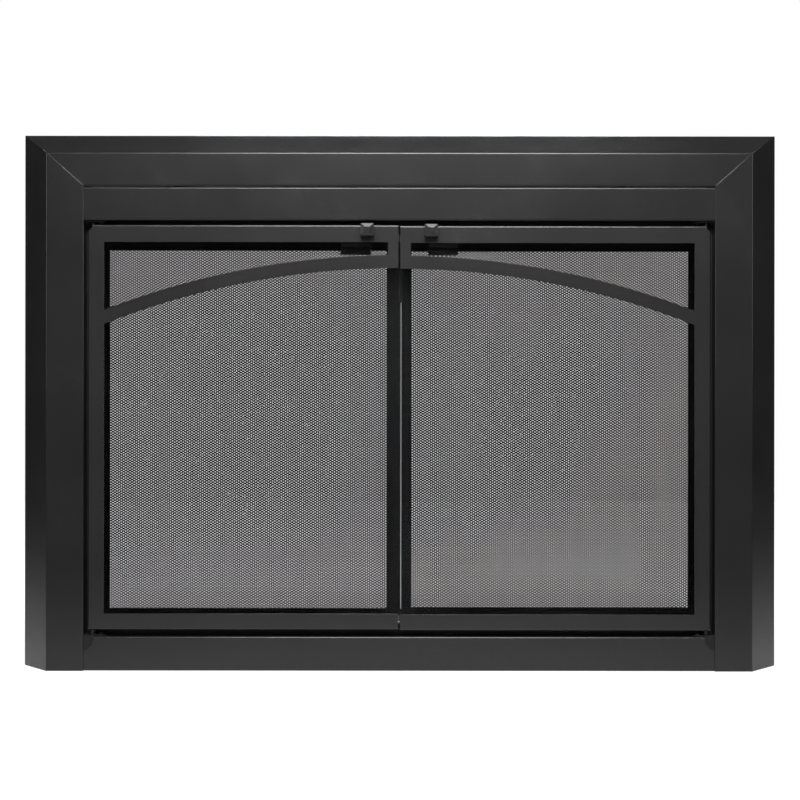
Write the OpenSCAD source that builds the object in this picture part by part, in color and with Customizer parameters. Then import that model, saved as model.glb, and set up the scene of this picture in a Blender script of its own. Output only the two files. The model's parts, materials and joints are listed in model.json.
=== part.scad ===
// Cabinet-style fireplace glass door: a bevelled steel surround with two glazed doors
// on pivot pins and two sliding mesh screens behind them. Millimetres.
// X runs to the right, Y towards the fire and Z up. The origin is on the hearth, at the
// middle of the opening, in the plane where the surround's rear edge meets the wall.

/* [Overall] */
// Width across the rear edge of the surround
overall_w = 1105; // [900:1:1300]
// Height from the hearth to the rear edge at the top
overall_h = 780; // [700:1:900]
// From the wall to the front face
frame_depth = 60; // [58:1:75]

/* [Surround] */
// How far each side slopes outwards from the face to the wall
side_bevel = 46.5; // [25:0.5:60]
// How far the top slopes upwards from the face to the wall
top_bevel = 35; // [20:0.5:50]
// Width of the flat face of each side
side_face = 53.5; // [45:0.5:70]
// Height of the flat face of the header
top_face = 48; // [42:0.5:65]
// Flange that lies against the wall
wall_flange = 14; // [8:1:20]
// How far the neck reaches into the fireplace behind the wall plane
neck_reach = 12; // [6:1:30]
// Steel sheet of the surround, band, sill and doors
sheet = 1.5; // [1:0.1:2]
// Outside radius of the bends
bend_r = 2.4; // [2.1:0.1:3]

/* [Band and sill] */
// Height of the band under the header
band_h = 48.2; // [40:0.1:60]
// Shadow gap between the header and the band
band_gap = 1; // [0.6:0.1:3]
// Height of the sill
sill_h = 49.4; // [40:0.1:60]
// How far the band and sill stand behind the front face
inner_setback = 2; // [1:0.5:4]
// Upturned lip along the rear of the sill
sill_lip = 22; // [18:1:30]

/* [Doors] */
// How far the doors' faces stand behind the front face
door_setback = 4; // [2:0.5:6]
// Gap between a door and the side of the surround
door_side_gap = 5.6; // [5.4:0.1:8]
// Gap over the right door
door_top_gap = 7.2; // [6:0.1:10]
// Gap under the right door
door_bottom_gap = 8.5; // [8:0.1:12]
// Gap between the two doors
meeting_gap = 3; // [2:0.1:5]
// How much higher the left door is set on its levelling stud
left_door_lift = 1; // [0:0.1:1.5]
// Width of a door's outer stile
door_stile = 23.2; // [21:0.1:35]
// Height of a door's top rail
door_top_rail = 24.9; // [24:0.1:35]
// Height of a door's bottom rail
door_bottom_rail = 23.4; // [22:0.1:35]
// Width of the short meeting stile that ends in the arch
meeting_stile = 15; // [10:0.5:25]
// Depth of a door's folded edges
door_return = 14; // [13:0.5:15]

/* [Arch] */
// From the top of a door down to the arch at the middle
arch_drop = 43; // [35:1:60]
// Radius of the arch's upper edge
arch_r = 1182; // [1000:1:1600]
// Width of the arch bar
arch_bar = 19.1; // [12:0.1:30]

/* [Glass] */
// Thickness of the glass
glass_t = 4; // [3:0.5:5]
// How far the glass laps behind the stile and rails
glass_lap = 10; // [8:0.5:11]
// How far the glass stands out past the meeting edge
glass_overhang = 0.7; // [0:0.1:0.8]
// Thickness of the gasket tape that wraps the glass
gasket_t = 1; // [0.5:0.1:1.2]
// How far the gasket reaches over the glass
gasket_leg = 8; // [6:0.5:9]
// Width of a glass clip
clip_w = 14; // [10:1:20]
// Weld stud of a glass clip
clip_stud_d = 4; // [3:0.5:4]

/* [Pivots] */
// From a door's outer edge in to its pivot axis
pivot_inset = 5.4; // [5.2:0.1:6]
// From a door's face back to its pivot axis
pivot_back = 9.5; // [9:0.1:10]
// Diameter of the pivot pins
pivot_d = 5; // [4:0.5:5.5]
// Radial clearance of a pivot pin in its hole
pivot_fit = 0.05; // [0.03:0.01:0.1]
// How far the sprung upper pin stands over its bracket
pin_reach = 4; // [3:0.5:6]
// Travel of the sprung upper pin
pin_travel = 9; // [7:0.5:10]
// Length of the spring
spring_len = 38; // [30:1:50]
// Wire of the spring
spring_wire = 0.7; // [0.6:0.1:0.8]
// Turns of the spring
spring_turns = 9; // [6:1:12]
// Thickness of the pivot brackets
bracket_t = 2; // [1.5:0.1:2.5]

/* [Knobs] */
// Width of a knob at the door
knob_w = 19.3; // [16:0.1:24]
// Height of a knob at the door
knob_tall = 18; // [14:0.1:18.5]
// Width of a knob's flat front, as a share of its width at the door
knob_taper = 0.48; // [0.4:0.01:0.8]
// How far the knob stands out
knob_h = 20; // [15:0.5:28]
// Straight part of the knob next to the door
knob_base = 5; // [3:0.5:8]
// From the middle of the doors to a knob's middle
knob_x = 46.1; // [40:0.1:80]
// From a door's top down to a knob's middle
knob_drop = 8; // [7.5:0.1:10]

/* [Magnetic catches] */
// Width of a catch
catch_w = 43.8; // [36:0.1:60]
// Height of a catch below the band
catch_h = 48; // [40:1:55]
// Depth of a catch
catch_d = 8.5; // [7:0.5:9]
// From the middle of the doors to a catch's middle
catch_x = 63.5; // [60:0.5:90]
// Gap between a catch and its strike plate
catch_gap = 0.3; // [0.2:0.1:0.6]

/* [Mesh screens] */
// Thickness of a screen's frame
mesh_frame_t = 6; // [5:0.5:7]
// Width of a screen's outer stile
mesh_stile = 16; // [13:0.5:22]
// Width of the left screen's meeting stile
mesh_meeting_left = 19.9; // [16:0.1:24]
// Width of the right screen's meeting stile
mesh_meeting_right = 15.2; // [12:0.1:22]
// Height of a screen's top rail
mesh_top_rail = 22.3; // [14:0.1:26]
// Height of a screen's bottom rail
mesh_bottom_rail = 18.9; // [14:0.1:24]
// From the side of the surround to a screen
mesh_side_gap = 15.8; // [12:0.1:20]
// Gap where the two screens meet
mesh_seam_gap = 1.1; // [0.8:0.1:4]
// How far the seam lies to the right of the middle
mesh_seam_x = 1.6; // [0:0.1:4]
// Thickness of the expanded steel net
net_t = 1; // [0.8:0.1:1.2]
// Columns of diamonds drawn in the net
net_cols = 6; // [4:1:6]
// Rows of diamonds drawn in the net
net_rows = 11; // [8:1:11]
// Width of the strands drawn in the net
net_strand = 3; // [2:0.5:5]

/* [Tracks] */
// From one channel of a track to the other
channel_pitch = 12; // [11:0.5:13]
// Height of the bottom track
track_bottom_h = 14.6; // [12:0.1:18]
// Height of the top track
track_top_h = 14.6; // [12:0.1:16]
// Gap between the ribs of a track and a screen's frame
track_gap = 3.5; // [2:0.1:6]
// Clearance of a glide in its channel, each side
glide_gap = 0.5; // [0.3:0.1:1]
// Length of a glide
glide_len = 26; // [18:1:40]

/* [Anchors] */
// From the side of the surround in to a lintel clamp or floor bracket
anchor_inset = 125; // [60:5:200]
// Width of the clamp bars and floor brackets
anchor_w = 30; // [26:1:45]
// Thickness of the clamp bars and floor brackets
anchor_t = 3; // [2:0.5:4]
// How far they reach into the fireplace behind the wall plane
anchor_reach = 52; // [46:1:80]
// Diameter of the lintel clamp screw
clamp_d = 8; // [6:1:10]
// Length of the lintel clamp screw
clamp_len = 62; // [50:1:80]
// Width of the slot for a floor screw
slot_w = 7; // [5:0.5:9]
// Length of the slot for a floor screw
slot_len = 20; // [14:1:22]

/* [Fasteners] */
// Screws that join the sheet-metal pieces
screw_d = 5; // [4:0.5:6]
// Small screws of brackets, tracks and catches
small_screw_d = 4; // [3:0.5:4]

/* [Hidden] */
$fn = 48;

// Colours
powder_black = [0.2, 0.2, 0.2];
shade_black = [0.11, 0.11, 0.11];
smoked = [0.25, 0.25, 0.26, 0.45];
zinc = [0.62, 0.63, 0.64];
dark_zinc = [0.32, 0.32, 0.33];
gasket_grey = [0.3, 0.29, 0.27];
nylon = [0.08, 0.08, 0.08];

// How far a bend's round nose falls short of the sharp corner it is drawn from, for a
// sheet that folds from the wall plane back along a slope.
function nose_short(bevel) = bend_r * (tan((90 + atan(bevel / frame_depth)) / 2) - 1);

// Planes of the surround. The sharp corners stand out past the overall size by that much.
half_w = overall_w / 2 + nose_short(side_bevel);
corner_z = overall_h + nose_short(top_bevel);
face_x = half_w - side_bevel;
jamb_x = face_x - side_face;
face_z = corner_z - top_bevel;
header_z = face_z - top_face;
front_y = -frame_depth;
face_back_y = front_y + sheet;
header_return = 38;
cut_margin = 10;
// How deep a welded stud or tab sits in the sheet that carries it.
weld_depth = sheet / 2;

// Planes of the band and sill
inner_front_y = front_y + inner_setback;
band_top = header_z - band_gap;
band_bottom = band_top - band_h;
band_top_leg = 32;
tab_w = 30;
tab_y = inner_front_y + 9;
bolt_edge = 12;
anchor_x = jamb_x - anchor_inset;

// Planes of a door. Doors are drawn on the left and mirrored for the right.
door_y = front_y + door_setback;
door_back_y = door_y + sheet;
door_rear_y = door_y + door_return;
door_out = -(jamb_x - door_side_gap);
door_in = -meeting_gap / 2;
door_bottom = sill_h + door_bottom_gap;
door_top = band_bottom - door_top_gap;
open_out = door_out + door_stile;
open_bottom = door_bottom + door_bottom_rail;
open_top = door_top - door_top_rail;
arch_centre_z = door_top - arch_drop - arch_r;
flat_inset = bend_r + 1;

// Glass and what holds it
glass_y = door_back_y + gasket_t;
glass_rear_y = glass_y + glass_t;
gasket_rear_y = glass_rear_y + gasket_t;
glass_out = open_out - glass_lap;
glass_in = door_in + glass_overhang;
glass_bottom = open_bottom - glass_lap;
glass_top = open_top + glass_lap;
clip_t = 1.5;
clip_heel = 2;
clip_room = 5;
clip_cover = 6;
nut_h = 3;
stud_len = gasket_rear_y + clip_t + nut_h + 0.7 - door_back_y;

// Pivot axis and its pieces
pivot_x = door_out + pivot_inset;
pivot_y = door_y + pivot_back;
pivot_r = pivot_d / 2;
pivot_hole_r = pivot_r + pivot_fit;
// Cut away from the top outer corner, and notched in the bottom edge, so that the pivots pass.
corner_cut = pivot_inset + pivot_r + sheet + 0.4;
collar_r = pivot_inset - sheet - 0.4;
collar_h = 3;
seat_gap = 0.3;
bracket_len = 31;
bracket_front = 7;
bracket_rear = 10;
bracket_screw_step = 12;
bracket_screw_x = pivot_x + bracket_screw_step;
tab_radius = 20.5;
tab_centre_out = 5.8;
ear_inset = 1;
ear_rear_y = door_rear_y - 0.4;
ear_in_x = pivot_x + collar_r + 0.6;
ear_out_x = door_out + sheet + 0.2;
ear_front_y = door_back_y + 1;
ear_web_t = 1.5;
ear_web_rise = 22;
upper_ear_z = door_top - corner_cut - ear_inset;
lower_ear_z = door_bottom + sheet + 2.5;
housing_floor_z = upper_ear_z - bracket_t - seat_gap - collar_h - spring_len;
pin_top_z = band_bottom + pin_reach;
pin_tail = 5;
pin_bottom_z = housing_floor_z - bracket_t - pin_travel - pin_tail;
spring_r = collar_r - spring_wire / 2;
ring_sides = 6;
rings_per_turn = 8;

// Catches
catch_front_y = door_rear_y + sheet + catch_gap + 0.3;
strike_y = door_rear_y;
strike_w = catch_w - 2;
strike_h = 28;
strike_leg = 9;
magnet_h = 14;
pole_proud = 0.3;

// Mesh screens: the left one runs in the front channel and the right one in the rear
track_front_y = catch_front_y + catch_d + 0.2;
rib_t = sheet;
front_channel_y = track_front_y + rib_t / 2 + channel_pitch / 2;
rear_channel_y = front_channel_y + channel_pitch;
track_flange = 9;
track_rear_y = track_front_y + 2 * channel_pitch + rib_t;
mesh_out = -(jamb_x - mesh_side_gap);
mesh_bottom = sill_h + track_bottom_h + track_gap;
mesh_top = band_bottom - track_top_h - track_gap;
net_lap = 8;
net_groove = net_t + 0.2;
pull_w = 10;
pull_h = 44;
pull_t = 2;
pull_proud = channel_pitch - mesh_frame_t - 1.2;
glide_w = channel_pitch - rib_t - 2 * glide_gap;
glide_setin = 8;
glide_clear = 0.4;

// Fastener sizes
frame_screw_len = 10;
moulding_grip = 10;
sheet_grip = 3;
head_ratio = 1.8;
head_h_ratio = 0.55;
hole_extra = 0.3;

// ---------------------------------------------------------------- helpers

// Extrudes a (y, z) section along X from x0 to x1.
module along_x(x0, x1) {
    translate([x0, 0, 0]) rotate([90, 0, 90]) linear_extrude(x1 - x0) children();
}

// Extrudes an (x, z) outline along Y from y0 back to y1.
module along_y(y0, y1) {
    translate([0, y1, 0]) rotate([90, 0, 0]) linear_extrude(y1 - y0) children();
}

// Extrudes an (x, y) section along Z from z0 up to z1.
module along_z(z0, z1) {
    translate([0, 0, z0]) linear_extrude(z1 - z0) children();
}

// A box between two corners.
module block(low, high) {
    translate(low) cube(high - low);
}

// Both sides of the middle plane.
module both_sides() {
    children();
    mirror([1, 0, 0]) children();
}

function unit(v) = v / norm(v);
function left_of(v) = [-v[1], v[0]];
function turned(v, angle) = [
    v[0] * cos(angle) - v[1] * sin(angle),
    v[0] * sin(angle) + v[1] * cos(angle),
];

// Points round one bend of a folded sheet, at a radius about the bend's centre.
bend_steps = 8;
function bend_points(before, corner, after, outside_r, radius) =
    let (
        way_in = unit(corner - before),
        way_out = unit(after - corner),
        turn = acos(way_in * way_out),
        start = corner - way_in * outside_r * tan(turn / 2),
        centre = start + left_of(way_in) * outside_r
    )
    [for (i = [0:bend_steps]) centre - turned(left_of(way_in), turn * i / bend_steps) * radius];

// Section of a folded sheet. The points are the sheet's outer line with sharp corners,
// in an order that turns left at each bend, so the sheet's inside is on the left.
module folded_sheet(points) {
    last = len(points) - 1;
    first_way = unit(points[1] - points[0]);
    last_way = unit(points[last] - points[last - 1]);
    outer = [
        points[0],
        for (i = [1:last - 1])
            each bend_points(points[i - 1], points[i], points[i + 1], bend_r, bend_r),
        points[last],
    ];
    inner = [
        points[0] + left_of(first_way) * sheet,
        for (i = [1:last - 1])
            each bend_points(points[i - 1], points[i], points[i + 1], bend_r, bend_r - sheet),
        points[last] + left_of(last_way) * sheet,
    ];
    polygon(concat(outer, [for (i = [len(inner) - 1:-1:0]) inner[i]]));
}

// A pan-head screw with its head's underside at the origin, its shank down and its head up.
module pan_screw(d, length) {
    head_r = d * head_ratio / 2;
    head_h = d * head_h_ratio;
    difference() {
        union() {
            translate([0, 0, -length]) cylinder(r = d / 2, h = length);
            cylinder(r = head_r, h = head_h * 0.6);
            translate([0, 0, head_h * 0.6])
                cylinder(r1 = head_r, r2 = head_r * 0.75, h = head_h * 0.4);
        }
        translate([0, 0, head_h * 0.35]) cylinder(r = d * 0.3, h = head_h, $fn = 6);
    }
}

// A hex nut standing on the origin, with its hole just over the stud.
module hex_nut(d, height) {
    difference() {
        cylinder(r = d, h = height, $fn = 6);
        translate([0, 0, -1]) cylinder(r = d / 2 + 0.1, h = height + 2);
    }
}

// Turns what points up so that it points to the front, the rear, the left or down.
module facing_front() { rotate([90, 0, 0]) children(); }
module facing_rear() { rotate([-90, 0, 0]) children(); }
module facing_left() { rotate([0, -90, 0]) children(); }
module facing_right() { rotate([0, 90, 0]) children(); }
module facing_down() { rotate([180, 0, 0]) children(); }

// ---------------------------------------------------------------- surround

// Front view of the header between its two mitres.
module header_region() {
    polygon([
        [-half_w, corner_z],
        [-face_x, face_z],
        [-jamb_x, header_z],
        [jamb_x, header_z],
        [face_x, face_z],
        [half_w, corner_z],
    ]);
}

// Front view of the left side, square at the hearth and mitred at the top.
module side_region() {
    polygon([
        [-half_w - cut_margin, 0],
        [-half_w - cut_margin, corner_z],
        [-half_w, corner_z],
        [-face_x, face_z],
        [-jamb_x, header_z],
        [-jamb_x, 0],
    ]);
}

// Places where studs hold a corner gusset, as (x, z) on the left.
gusset_arm = 110;
gusset_edge = 5;
gusset_t = 2;
gusset_stud_len = 11;
header_studs = [for (step = [0.45, 0.8]) [-jamb_x - gusset_edge + gusset_arm * step, header_z + top_face / 2]];
side_studs = [for (step = [0.35, 0.7]) [-jamb_x - side_face / 2, header_z - gusset_arm * step]];

module weld_studs(places) {
    for (p = places)
        translate([p[0], face_back_y - weld_depth, p[1]])
            facing_rear() cylinder(r = screw_d / 2, h = gusset_stud_len + weld_depth);
}

// Bolt places of the end tabs, as (y, z).
function band_bolts() = [
    for (z = [band_bottom + bolt_edge, band_top - bolt_edge]) [tab_y + tab_w / 2, z],
];
function sill_bolts() = [
    for (z = [bolt_edge, sill_h - bolt_edge]) [tab_y + tab_w / 2, z],
];
jamb_bolts = concat(band_bolts(), sill_bolts());

module bolt_holes_through_x(places, x0, x1) {
    for (p = places)
        translate([x0, p[0], p[1]]) facing_right() cylinder(r = screw_d / 2 + hole_extra, h = x1 - x0);
}

module surround_header() {
    color(powder_black) {
        intersection() {
            along_x(-half_w - 1, half_w + 1) folded_sheet([
                [0, corner_z - wall_flange],
                [0, corner_z],
                [front_y, face_z],
                [front_y, header_z],
                [front_y + header_return, header_z],
            ]);
            along_y(front_y - 1, 1) header_region();
        }
        both_sides() weld_studs(header_studs);
    }
}

module surround_left() {
    color(powder_black) {
        difference() {
            intersection() {
                along_z(0, corner_z) folded_sheet([
                    [-half_w + wall_flange, 0],
                    [-half_w, 0],
                    [-face_x, front_y],
                    [-jamb_x, front_y],
                    [-jamb_x, neck_reach],
                ]);
                along_y(front_y - 1, neck_reach + 1) side_region();
            }
            bolt_holes_through_x(jamb_bolts, -jamb_x - sheet - 1, -jamb_x + 1);
        }
        weld_studs(side_studs);
    }
}

module surround_right() { mirror([1, 0, 0]) surround_left(); }

// L-shaped plate behind the mitre, on weld studs.
module corner_gusset_left() {
    color(shade_black)
        along_y(face_back_y, face_back_y + gusset_t) difference() {
            union() {
                translate([-face_x + gusset_edge, header_z - gusset_arm])
                    square([side_face - 2 * gusset_edge, gusset_arm + top_face - gusset_edge]);
                translate([-face_x + gusset_edge, header_z + gusset_edge])
                    square([side_face - 2 * gusset_edge + gusset_arm, top_face - 2 * gusset_edge]);
            }
            for (p = concat(header_studs, side_studs))
                translate(p) circle(r = screw_d / 2 + hole_extra);
        }
}

module corner_gusset_right() { mirror([1, 0, 0]) corner_gusset_left(); }

module gusset_nuts() {
    color(zinc) both_sides()
        for (p = concat(header_studs, side_studs))
            translate([p[0], face_back_y + gusset_t, p[1]])
                facing_rear() hex_nut(screw_d, screw_d * 0.8);
}

// ---------------------------------------------------------------- band and sill

// Plate at the end of the band or sill, flat against the side of the surround.
module end_tab(z0, z1, bolts) {
    difference() {
        block([-jamb_x, tab_y, z0], [-jamb_x + sheet, tab_y + tab_w, z1]);
        bolt_holes_through_x(bolts, -jamb_x - 1, -jamb_x + sheet + 1);
    }
}

module hole_down(x, y, z, r) {
    translate([x, y, z - 3 * sheet]) cylinder(r = r, h = 6 * sheet);
}

catch_screw_xs = [-catch_x - catch_w / 3, -catch_x + catch_w / 3];
catch_screw_y = catch_front_y + catch_d / 2;
track_screw_y = track_rear_y + track_flange / 2;
track_screw_xs = [for (share = [0.1, 0.5, 0.9]) -jamb_x * share];
clamp_bolt_pitch = 12;
clamp_bolt_ys = [for (step = [1, 2]) inner_front_y + clamp_bolt_pitch * step];

module header_band() {
    color(powder_black) {
        difference() {
            along_x(-jamb_x, jamb_x) folded_sheet([
                [inner_front_y + band_top_leg, band_top],
                [inner_front_y, band_top],
                [inner_front_y, band_bottom],
                [track_rear_y + track_flange, band_bottom],
            ]);
            both_sides() {
                hole_down(pivot_x, pivot_y, band_bottom, pivot_r + 1.5);
                hole_down(bracket_screw_x, pivot_y, band_bottom, small_screw_d / 2 + hole_extra);
                for (x = catch_screw_xs)
                    hole_down(x, catch_screw_y, band_bottom, small_screw_d / 2 + hole_extra);
                for (x = track_screw_xs)
                    hole_down(x, track_screw_y, band_bottom, small_screw_d / 2 + hole_extra);
                for (y = clamp_bolt_ys)
                    hole_down(-anchor_x, y, band_top, screw_d / 2 + hole_extra);
            }
        }
        both_sides() end_tab(band_bottom + weld_depth, band_top - weld_depth, band_bolts());
    }
}

anchor_bolt_xs = [-anchor_x - anchor_w / 3, -anchor_x + anchor_w / 3];
anchor_bolt_z = sill_lip * 0.6;

module sill() {
    color(powder_black) {
        difference() {
            along_x(-jamb_x, jamb_x) folded_sheet([
                [track_rear_y + track_flange, sill_h],
                [inner_front_y, sill_h],
                [inner_front_y, 0],
                [neck_reach, 0],
                [neck_reach, sill_lip],
            ]);
            both_sides() {
                hole_down(pivot_x, pivot_y, sill_h, pivot_r + hole_extra);
                hole_down(bracket_screw_x, pivot_y, sill_h, small_screw_d / 2 + hole_extra);
                for (x = track_screw_xs)
                    hole_down(x, track_screw_y, sill_h, small_screw_d / 2 + hole_extra);
                for (x = anchor_bolt_xs)
                    translate([x, neck_reach - 2 * sheet, anchor_bolt_z])
                        facing_rear() cylinder(r = screw_d / 2 + hole_extra, h = 4 * sheet);
            }
        }
        both_sides() end_tab(weld_depth, sill_h - weld_depth, sill_bolts());
    }
}

// Screws and nuts that hold the band's and sill's end tabs to the sides.
module frame_screws() {
    color(zinc) both_sides()
        for (p = jamb_bolts) {
            translate([-jamb_x + sheet, p[0], p[1]]) facing_right() pan_screw(screw_d, frame_screw_len);
            translate([-jamb_x - sheet, p[0], p[1]]) facing_left() hex_nut(screw_d, screw_d * 0.8);
        }
}

// ---------------------------------------------------------------- tracks

// Section of a two-channel track standing on the origin's height, with a rear screw flange.
module track_section(height) {
    translate([track_front_y, 0]) square([2 * channel_pitch + rib_t + track_flange, sheet]);
    for (i = [0:2])
        translate([track_front_y + i * channel_pitch, 0]) square([rib_t, height]);
}

module track_holes(z) {
    both_sides() for (x = track_screw_xs)
        hole_down(x, track_screw_y, z, small_screw_d / 2 + hole_extra);
}

module mesh_track_bottom() {
    color(shade_black) difference() {
        along_x(-jamb_x + sheet + 0.5, jamb_x - sheet - 0.5)
            translate([0, sill_h]) track_section(track_bottom_h);
        track_holes(sill_h);
    }
}

module mesh_track_top() {
    color(shade_black) difference() {
        along_x(-jamb_x + sheet + 0.5, jamb_x - sheet - 0.5)
            translate([0, band_bottom]) mirror([0, 1]) track_section(track_top_h);
        track_holes(band_bottom);
    }
}

module track_screws() {
    screw_len = 2 * sheet + sheet_grip;
    color(zinc) both_sides() for (x = track_screw_xs) {
        translate([x, track_screw_y, sill_h + sheet]) pan_screw(small_screw_d, screw_len);
        translate([x, track_screw_y, band_bottom - sheet])
            facing_down() pan_screw(small_screw_d, screw_len);
    }
}

// ---------------------------------------------------------------- pivots on the frame

// Plan of a pivot bracket: a bar with a rounded inner end, from the side of the surround.
module pivot_bracket_plan() {
    bar_w = bracket_front + bracket_rear;
    middle_y = pivot_y + (bracket_rear - bracket_front) / 2;
    translate([-jamb_x, pivot_y - bracket_front]) square([bracket_len - bar_w / 2, bar_w]);
    translate([-jamb_x + bracket_len - bar_w / 2, middle_y]) circle(r = bar_w / 2);
}

module pivot_bracket_plate(z) {
    difference() {
        along_z(z, z + bracket_t) pivot_bracket_plan();
        translate([pivot_x, pivot_y, z - 1]) cylinder(r = pivot_hole_r, h = bracket_t + 2);
        translate([bracket_screw_x, pivot_y, z - 1])
            cylinder(r = small_screw_d / 2 + hole_extra, h = bracket_t + 2);
    }
}

module upper_pivot_bracket_left() {
    color(shade_black) pivot_bracket_plate(band_bottom - bracket_t);
}

module upper_pivot_bracket_right() { mirror([1, 0, 0]) upper_pivot_bracket_left(); }

// The lower bracket also wraps over the sill's front edge with a quarter-round tab.
module lower_pivot_bracket_left() {
    color(shade_black) {
        pivot_bracket_plate(sill_h);
        block(
            [-jamb_x, inner_front_y - sheet, sill_h],
            [-jamb_x + tab_radius - tab_centre_out, pivot_y - bracket_front, sill_h + sheet]
        );
        along_y(inner_front_y - sheet, inner_front_y) intersection() {
            translate([-jamb_x - tab_centre_out, sill_h]) circle(r = tab_radius);
            translate([-jamb_x, sill_h - tab_radius])
                square([tab_radius - tab_centre_out, tab_radius + sheet]);
        }
    }
}

module lower_pivot_bracket_right() { mirror([1, 0, 0]) lower_pivot_bracket_left(); }

module pivot_bracket_screws() {
    screw_len = bracket_t + sheet + sheet_grip;
    color(zinc) both_sides() {
        translate([bracket_screw_x, pivot_y, sill_h + bracket_t]) pan_screw(small_screw_d, screw_len);
        translate([bracket_screw_x, pivot_y, band_bottom - bracket_t])
            facing_down() pan_screw(small_screw_d, screw_len);
    }
}

// Levelling stud: a pin with a collar that carries the door, a jam nut over the bracket
// and a nut under the sill.
module lower_pivot_stud(lift) {
    bracket_top = sill_h + bracket_t;
    under_nut_h = 4;
    jam_nut_h = 5;
    color(dark_zinc) translate([pivot_x, pivot_y, 0]) {
        translate([0, 0, sill_h - sheet - under_nut_h - 2])
            cylinder(r = pivot_r, h = lower_ear_z + lift + bracket_t + 3 - (sill_h - sheet - under_nut_h - 2));
        translate([0, 0, bracket_top]) cylinder(r = pivot_d * 0.95, h = jam_nut_h, $fn = 6);
        translate([0, 0, bracket_top])
            cylinder(r = collar_r, h = lower_ear_z + lift - seat_gap - bracket_top);
        translate([0, 0, sill_h - sheet - under_nut_h])
            cylinder(r = pivot_d * 0.95, h = under_nut_h, $fn = 6);
    }
}

module lower_pivot_stud_left() { lower_pivot_stud(left_door_lift); }
module lower_pivot_stud_right() { mirror([1, 0, 0]) lower_pivot_stud(0); }

// ---------------------------------------------------------------- magnetic catches

magnet_rise = 20;
magnet_z = band_bottom - catch_h + magnet_rise;

// Moulded body that hangs from the band, with a pocket for the magnet and two grooves.
module catch_body_left() {
    x0 = -catch_x - catch_w / 2;
    x1 = -catch_x + catch_w / 2;
    groove = 1;
    groove_pitch = 4;
    first_groove = 6;
    color(nylon) difference() {
        block(
            [x0, catch_front_y, band_bottom - catch_h],
            [x1, catch_front_y + catch_d, band_bottom]
        );
        block(
            [x0 + 6, catch_front_y - 1, magnet_z],
            [x1 - 6, catch_front_y + catch_d - 2, magnet_z + magnet_h]
        );
        for (step = [first_groove, first_groove + groove_pitch])
            block(
                [x0 - 1, catch_front_y - 1, band_bottom - catch_h + step],
                [x1 + 1, catch_front_y + groove, band_bottom - catch_h + step + groove]
            );
        for (x = catch_screw_xs)
            translate([x, catch_screw_y, band_bottom - moulding_grip - 2])
                cylinder(r = small_screw_d / 2 + 0.1, h = moulding_grip + 3);
    }
}

module catch_body_right() { mirror([1, 0, 0]) catch_body_left(); }

// Magnet between two steel pole plates that stand just proud of the body.
module catch_magnets() {
    x0 = -catch_x - catch_w / 2 + 6.2;
    x1 = -catch_x + catch_w / 2 - 6.2;
    pole_t = 2;
    rear_y = catch_front_y + catch_d - 2;
    color(zinc) both_sides() {
        block([x0, catch_front_y + 1, magnet_z + pole_t], [x1, rear_y, magnet_z + magnet_h - pole_t]);
        for (z = [magnet_z, magnet_z + magnet_h - pole_t])
            block([x0, catch_front_y - pole_proud, z], [x1, rear_y, z + pole_t]);
    }
}

module catch_screws() {
    color(zinc) both_sides() for (x = catch_screw_xs)
        translate([x, catch_screw_y, band_bottom + sheet]) pan_screw(small_screw_d, sheet + moulding_grip);
}

// ---------------------------------------------------------------- lintel clamps and floor brackets

clamp_bar_z = band_top - sheet - anchor_t;
clamp_screw_y = anchor_reach - anchor_w / 2;
clamp_setback = 5;

module lintel_clamp_left() {
    color(shade_black) difference() {
        union() {
            block(
                [-anchor_x - anchor_w / 2, inner_front_y + clamp_setback, clamp_bar_z],
                [-anchor_x + anchor_w / 2, clamp_screw_y, clamp_bar_z + anchor_t]
            );
            translate([-anchor_x, clamp_screw_y, clamp_bar_z])
                cylinder(r = anchor_w / 2, h = anchor_t);
        }
        for (y = clamp_bolt_ys)
            hole_down(-anchor_x, y, clamp_bar_z, screw_d / 2 + hole_extra);
        hole_down(-anchor_x, clamp_screw_y, clamp_bar_z, clamp_d / 2 + 0.1);
    }
}

module lintel_clamp_right() { mirror([1, 0, 0]) lintel_clamp_left(); }

// Thumb screw that lifts a round pad against the lintel, with its lock nut on the bar.
module clamp_screws() {
    pad_r = clamp_d * 1.5;
    pad_h = 3;
    grip_r = clamp_d * 1.4;
    grip_h = 9;
    below = clamp_len * 0.35;
    color(zinc) both_sides() translate([-anchor_x, clamp_screw_y, clamp_bar_z]) {
        translate([0, 0, -below]) cylinder(r = clamp_d / 2, h = clamp_len);
        translate([0, 0, clamp_len - below]) cylinder(r = pad_r, h = pad_h);
        translate([0, 0, anchor_t]) cylinder(r = clamp_d * 0.95, h = clamp_d * 0.6, $fn = 6);
        difference() {
            translate([0, 0, -below]) cylinder(r = grip_r, h = grip_h);
            for (a = [0:45:359])
                rotate(a) translate([grip_r + 1, 0, -below - 1]) cylinder(r = 2, h = grip_h + 2);
        }
    }
}

// Angle behind the sill's lip with a slot for a screw into the hearth.
module floor_bracket_left() {
    color(shade_black) difference() {
        union() {
            block(
                [-anchor_x - anchor_w / 2, neck_reach, 0],
                [-anchor_x + anchor_w / 2, anchor_reach, anchor_t]
            );
            block(
                [-anchor_x - anchor_w / 2, neck_reach, 0],
                [-anchor_x + anchor_w / 2, neck_reach + anchor_t, sill_lip]
            );
        }
        translate([-anchor_x, (neck_reach + anchor_t + anchor_reach) / 2, -1])
            linear_extrude(anchor_t + 2) {
                square([slot_len - slot_w, slot_w], center = true);
                for (side = [-1, 1])
                    translate([side * (slot_len - slot_w) / 2, 0]) circle(r = slot_w / 2);
            }
        for (x = anchor_bolt_xs)
            translate([x, neck_reach - 1, anchor_bolt_z])
                facing_rear() cylinder(r = screw_d / 2 + hole_extra, h = anchor_t + 2);
    }
}

module floor_bracket_right() { mirror([1, 0, 0]) floor_bracket_left(); }

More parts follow.
